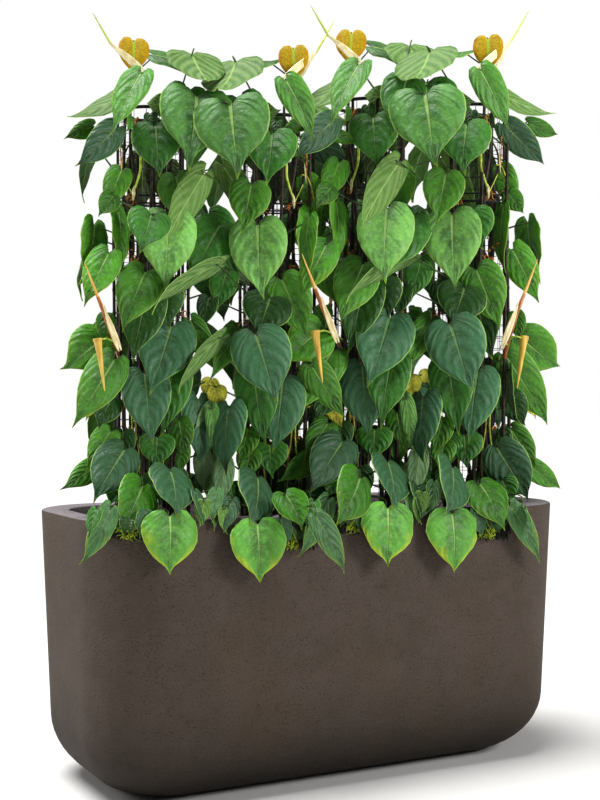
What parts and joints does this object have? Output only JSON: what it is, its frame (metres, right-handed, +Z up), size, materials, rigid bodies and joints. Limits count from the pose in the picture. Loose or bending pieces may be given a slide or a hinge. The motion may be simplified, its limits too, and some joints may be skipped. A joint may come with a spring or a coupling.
{
  "type": "potted climbing plant",
  "caption": "Long round-cornered trough planter with heartleaf philodendrons climbing wire columns, their heart-shaped leaves hanging on all sides and over the rim.",
  "frame": {"origin": "middle of the planter's flat underside, on the floor", "axes": "+X along the planter, -Y out of its long front, +Z up"},
  "size_m": [1.1302, 0.5607, 1.5241],
  "materials": {
    "planter": "matte fibre clay with fine pores",
    "soil": "dark potting soil",
    "wire": "black coated wire, satin",
    "leaf": "waxy green leaf",
    "ochre": "waxy ochre young leaf",
    "cream": "dry papery sheath",
    "lime": "smooth rolled young leaf",
    "brown": "dry orange-brown sheath",
    "bud": "rolled yellow young leaf"
  },
  "bodies": {
    "root": {"planter": "planter", "soil": "soil", "column_a": "wire", "column_b": "wire", "column_c": "wire", "column_d": "wire", "leafy_stem_a1": "leaf", "leafy_stem_a2": "leaf", "leafy_stem_a3": "leaf", "leafy_stem_a4": "leaf", "leafy_stem_a5": "leaf", "leafy_stem_a6": "leaf", "leafy_stem_b1": "leaf", "leafy_stem_b2": "leaf", "leafy_stem_b3": "leaf", "leafy_stem_b4": "leaf", "leafy_stem_b5": "leaf", "leafy_stem_b6": "leaf", "leafy_stem_c1": "leaf", "leafy_stem_c2": "leaf", "leafy_stem_c3": "leaf", "leafy_stem_c4": "leaf", "leafy_stem_c5": "leaf", "leafy_stem_c6": "leaf", "leafy_stem_d1": "leaf", "leafy_stem_d2": "leaf", "leafy_stem_d3": "leaf", "leafy_stem_d4": "leaf", "leafy_stem_d5": "leaf", "leafy_stem_d6": "leaf", "leaf_bud_a": "bud", "leaf_bud_b": "bud", "leaf_bud_c": "bud", "leaf_bud_d": "bud", "ochre_leaf_a": "ochre", "ochre_leaf_b": "ochre", "ochre_leaf_c": "ochre", "ochre_leaf_d": "ochre", "side_needle_a": "brown", "side_needle_b": "brown", "side_needle_c": "brown", "side_needle_d": "brown", "side_sheath_a": "cream", "side_sheath_b": "cream", "side_sheath_c": "cream", "side_sheath_d": "cream", "top_needle_a": "lime", "top_needle_b": "lime", "top_needle_c": "lime", "top_needle_d": "lime", "top_sheath_a": "cream", "top_sheath_b": "cream", "top_sheath_c": "cream", "top_sheath_d": "cream"}
  },
  "joints": []
}
